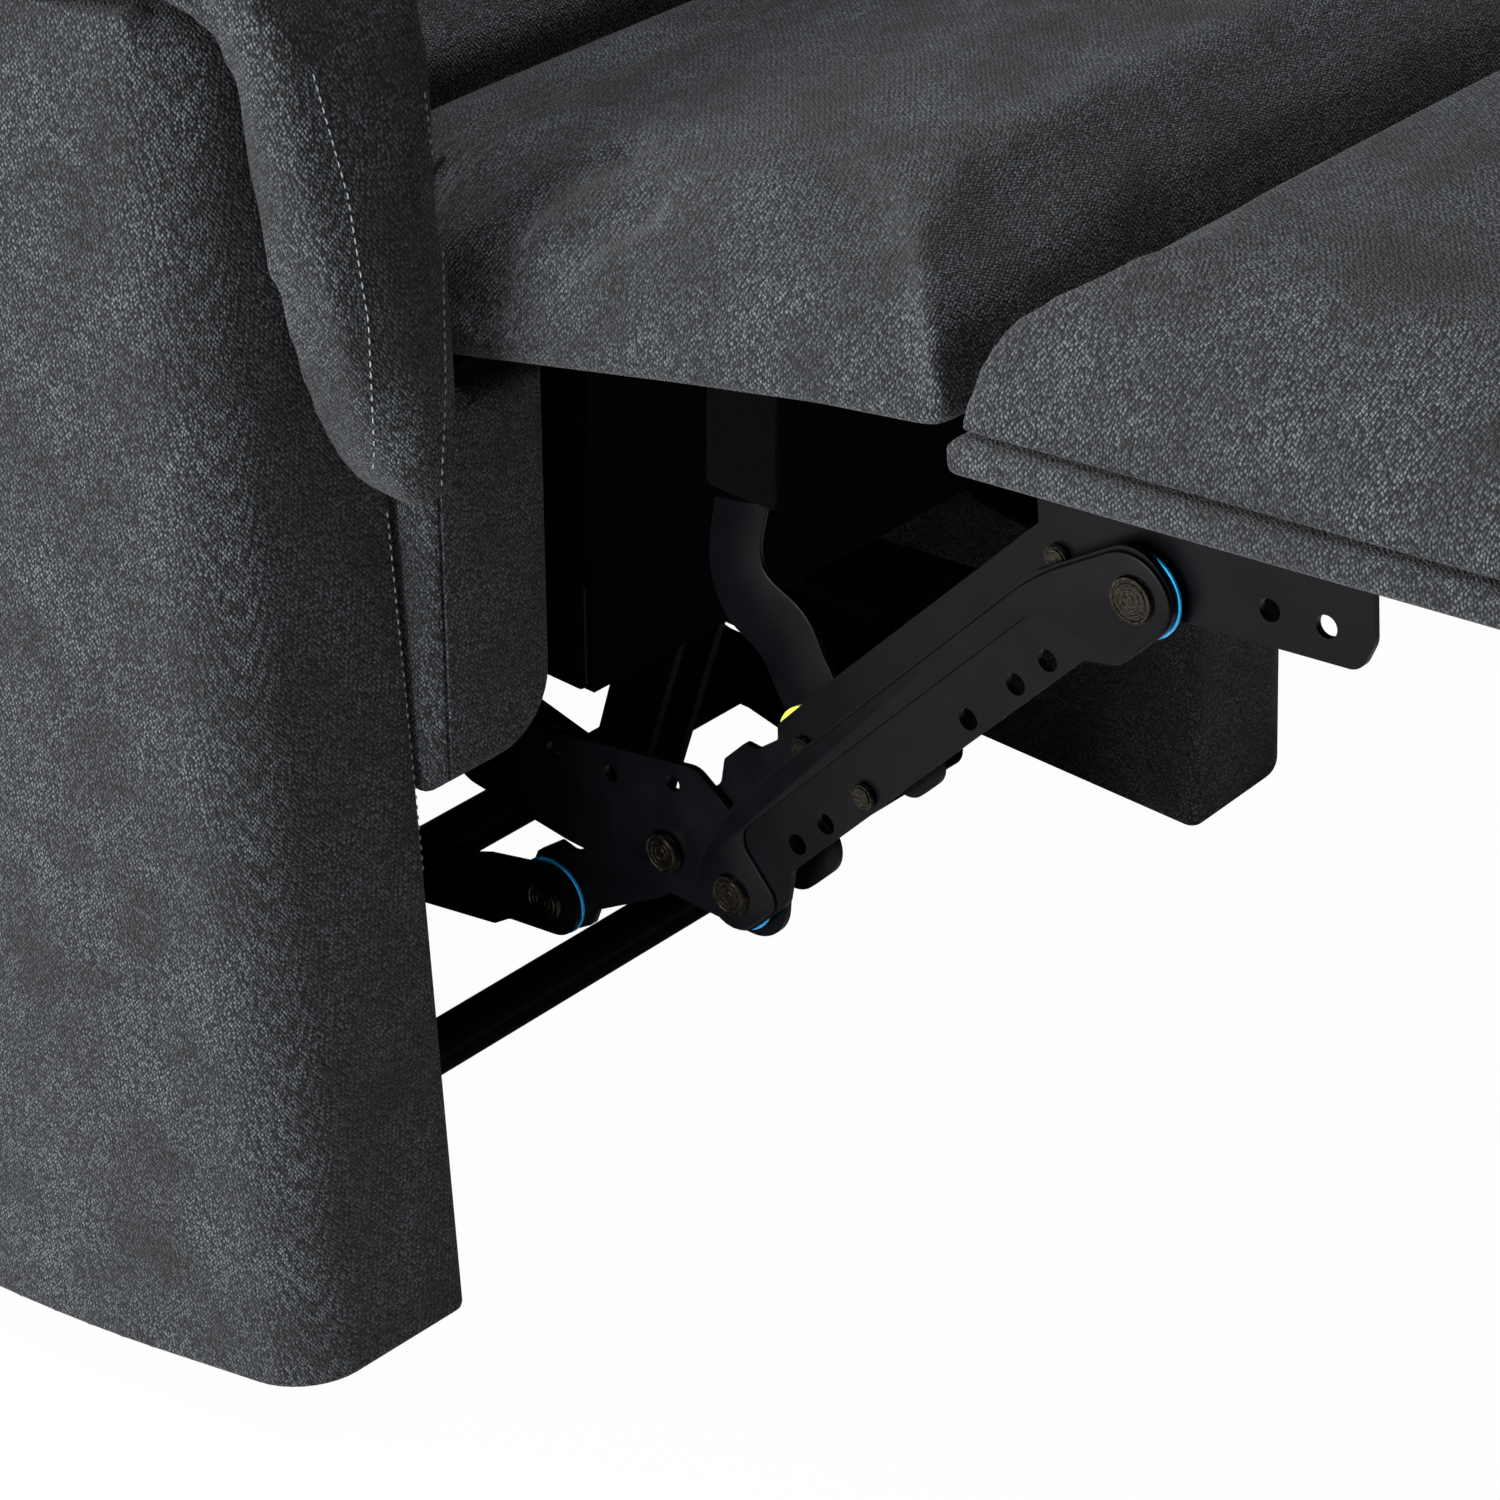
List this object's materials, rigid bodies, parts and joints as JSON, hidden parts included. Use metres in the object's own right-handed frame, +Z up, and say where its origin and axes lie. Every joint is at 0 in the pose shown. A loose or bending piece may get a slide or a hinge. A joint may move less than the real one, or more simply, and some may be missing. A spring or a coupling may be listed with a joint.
{
  "type": "lift recliner chair",
  "caption": "Upholstered power lift recliner with a folding footrest linkage, reclining back and a stand-up lift base, shown with the footrest out.",
  "frame": {"origin": "on the floor, under the middle of the chair with its footrest out", "axes": "+Z up, -Y towards the footrest, the way a sitter faces, +X towards the sitter's left"},
  "size_m": [0.8228, 1.3222, 1.0712],
  "materials": {
    "woven_fabric": "matt woven upholstery",
    "black_cloth": "matt lining cloth",
    "black_steel": "satin black paint",
    "pivot_steel": "turned, dark",
    "blue_washer": "satin",
    "frame_wood": "plain sawn",
    "spring_steel": "drawn",
    "black_rubber": "matt",
    "actuator_plastic": "fine texture",
    "rod_steel": "polished",
    "button_plastic": "satin"
  },
  "bodies": {
    "base": {"base_rails": "black_steel", "base_front_tube": "black_steel", "base_rear_tube": "black_steel", "glides": "black_rubber"},
    "rear_lift_arms": {"rear_lift_arms": "black_steel"},
    "front_lift_arms": {"front_lift_arms": "black_steel"},
    "seat": {"side_plate_right": "black_steel", "side_plate_left": "black_steel", "chassis_front_tube": "black_steel", "chassis_rear_tube": "black_steel", "chassis_pins": "pivot_steel", "arm_brackets": "black_steel", "seat_runners": "frame_wood", "seat_front_board": "black_cloth", "seat_side_boards": "frame_wood", "seat_rear_board": "frame_wood", "seat_springs": "spring_steel", "seat_cushion": "woven_fabric", "seat_front_pad": "woven_fabric", "seat_bridge_pad": "woven_fabric", "seat_facings": "woven_fabric", "arm_right": "woven_fabric", "arm_left": "woven_fabric", "arm_pad_right": "woven_fabric", "arm_pad_left": "woven_fabric", "side_pockets": "woven_fabric", "handset": "actuator_plastic", "power_supply": "actuator_plastic", "back_hinge_pins": "pivot_steel"},
    "drive_links": {"footrest_drive_links": "black_steel", "drive_tube": "black_steel"},
    "outer_links": {"footrest_outer_links": "black_steel", "outer_link_rivets": "pivot_steel", "outer_link_washers": "blue_washer"},
    "inner_links": {"footrest_inner_links": "black_steel", "inner_link_rivets": "pivot_steel", "inner_link_washers": "blue_washer"},
    "guide_links": {"footrest_guide_links": "black_steel", "guide_link_rivets": "pivot_steel"},
    "pad_props": {"pad_props": "black_steel"},
    "footrest": {"footrest_brackets": "black_steel", "bracket_fasteners": "pivot_steel", "footrest_board": "woven_fabric", "footrest_pad": "woven_fabric"},
    "back": {"back_frame": "frame_wood", "back_lever": "black_steel", "back_cushion_lower": "woven_fabric", "back_cushion_middle": "woven_fabric", "head_cushion": "woven_fabric", "back_outer_panel": "woven_fabric"},
    "footrest_actuator": {"footrest_actuator": "actuator_plastic"},
    "footrest_rod": {"footrest_push_rod": "rod_steel"},
    "lift_actuator": {"lift_actuator": "actuator_plastic"},
    "lift_rod": {"lift_push_rod": "rod_steel"},
    "back_actuator": {"back_actuator": "actuator_plastic"},
    "back_rod": {"back_push_rod": "rod_steel"},
    "button_recline": {"button_recline": "button_plastic"},
    "button_sit_up": {"button_sit_up": "button_plastic"},
    "button_lift": {"button_lift": "button_plastic"},
    "button_lower": {"button_lower": "button_plastic"}
  },
  "joints": [
    {"name": "lift", "type": "hinge", "parent": "base", "child": "rear_lift_arms", "pos_m": [0, 0.10005, 0.04], "axis": [1, 0, 0], "range_deg": [0, 42]},
    {"name": "front_lift_swing", "type": "hinge", "parent": "base", "child": "front_lift_arms", "pos_m": [0, 0.06315, 0.0766], "axis": [1, 0, 0], "range_deg": [-0.3, 62.6]},
    {"name": "seat_tilt", "type": "hinge", "parent": "rear_lift_arms", "child": "seat", "pos_m": [0, 0.46005, 0.112], "axis": [1, 0, 0], "range_deg": [-18.3, 0.3]},
    {"name": "footrest_fold", "type": "hinge", "parent": "seat", "child": "drive_links", "pos_m": [0, -0.00585, 0.261], "axis": [1, 0, 0], "range_deg": [0, 61.7], "deforming": ["seat_bridge_pad"]},
    {"name": "inner_link_swing", "type": "hinge", "parent": "drive_links", "child": "inner_links", "pos_m": [0, -0.14195, 0.2308], "axis": [1, 0, 0], "range_deg": [-105.25, 0.3]},
    {"name": "outer_link_swing", "type": "hinge", "parent": "drive_links", "child": "outer_links", "pos_m": [0, -0.18595, 0.2328], "axis": [1, 0, 0], "range_deg": [-109.51, 0.3]},
    {"name": "footrest_turn", "type": "hinge", "parent": "inner_links", "child": "footrest", "pos_m": [0, -0.33695, 0.4376], "axis": [1, 0, 0], "range_deg": [-0.3, 137.15]},
    {"name": "guide_link_swing", "type": "hinge", "parent": "seat", "child": "guide_links", "pos_m": [0, 0.09285, 0.1541], "axis": [1, 0, 0], "range_deg": [-0.3, 51.57]},
    {"name": "prop_swing", "type": "hinge", "parent": "inner_links", "child": "pad_props", "pos_m": [0, -0.21295, 0.306], "axis": [1, 0, 0], "range_deg": [-0.3, 68.79]},
    {"name": "recline", "type": "hinge", "parent": "seat", "child": "back", "pos_m": [0, 0.47505, 0.43], "axis": [-1, 0, 0], "range_deg": [0, 35]},
    {"name": "footrest_actuator_swing", "type": "hinge", "parent": "seat", "child": "footrest_actuator", "pos_m": [0, 0.42805, 0.192], "axis": [1, 0, 0], "range_deg": [-20.16, 0.3]},
    {"name": "footrest_rod_slide", "type": "slide", "parent": "footrest_actuator", "child": "footrest_rod", "axis": [0, -0.9768, -0.214], "range_m": [-0.11927, 0.001]},
    {"name": "back_actuator_swing", "type": "hinge", "parent": "seat", "child": "back_actuator", "pos_m": [0, 0.22205, 0.267], "axis": [1, 0, 0], "range_deg": [-0.3, 3.33]},
    {"name": "back_rod_slide", "type": "slide", "parent": "back_actuator", "child": "back_rod", "axis": [0, 0.9892, 0.1467], "range_m": [-0.07533, 0.001]},
    {"name": "lift_actuator_swing", "type": "hinge", "parent": "base", "child": "lift_actuator", "pos_m": [0, 0.51005, 0.074], "axis": [1, 0, 0], "range_deg": [-0.3, 0.81]},
    {"name": "lift_rod_slide", "type": "slide", "parent": "lift_actuator", "child": "lift_rod", "axis": [0, -0.824, 0.5665], "range_m": [-0.001, 0.21858]},
    {"name": "recline_press", "type": "slide", "parent": "seat", "child": "button_recline", "axis": [-1, 0, 0], "range_m": [0, 0.0012], "stiffness_N_per_m": 900, "springref_m": -0.0006},
    {"name": "sit_up_press", "type": "slide", "parent": "seat", "child": "button_sit_up", "axis": [-1, 0, 0], "range_m": [0, 0.0012], "stiffness_N_per_m": 900, "springref_m": -0.0006},
    {"name": "lift_press", "type": "slide", "parent": "seat", "child": "button_lift", "axis": [-1, 0, 0], "range_m": [0, 0.0012], "stiffness_N_per_m": 900, "springref_m": -0.0006},
    {"name": "lower_press", "type": "slide", "parent": "seat", "child": "button_lower", "axis": [-1, 0, 0], "range_m": [0, 0.0012], "stiffness_N_per_m": 900, "springref_m": -0.0006}
  ],
  "couplings": [
    {"joint": "front_lift_swing", "follows": "lift", "ratio": 1.4833},
    {"joint": "seat_tilt", "follows": "lift", "ratio": -0.42857},
    {"joint": "inner_link_swing", "follows": "footrest_fold", "ratio": -1.701},
    {"joint": "outer_link_swing", "follows": "footrest_fold", "ratio": -1.77},
    {"joint": "footrest_turn", "follows": "footrest_fold", "ratio": 2.218},
    {"joint": "guide_link_swing", "follows": "footrest_fold", "ratio": 0.831},
    {"joint": "prop_swing", "follows": "footrest_fold", "ratio": 1.11},
    {"joint": "footrest_actuator_swing", "follows": "footrest_fold", "ratio": -0.32182},
    {"joint": "footrest_rod_slide", "follows": "footrest_fold", "m_per_rad": -0.10983},
    {"joint": "back_actuator_swing", "follows": "recline", "ratio": 0.086446},
    {"joint": "back_rod_slide", "follows": "recline", "m_per_rad": -0.12168},
    {"joint": "lift_actuator_swing", "follows": "lift", "ratio": 0.012208},
    {"joint": "lift_rod_slide", "follows": "lift", "m_per_rad": 0.29682}
  ]
}
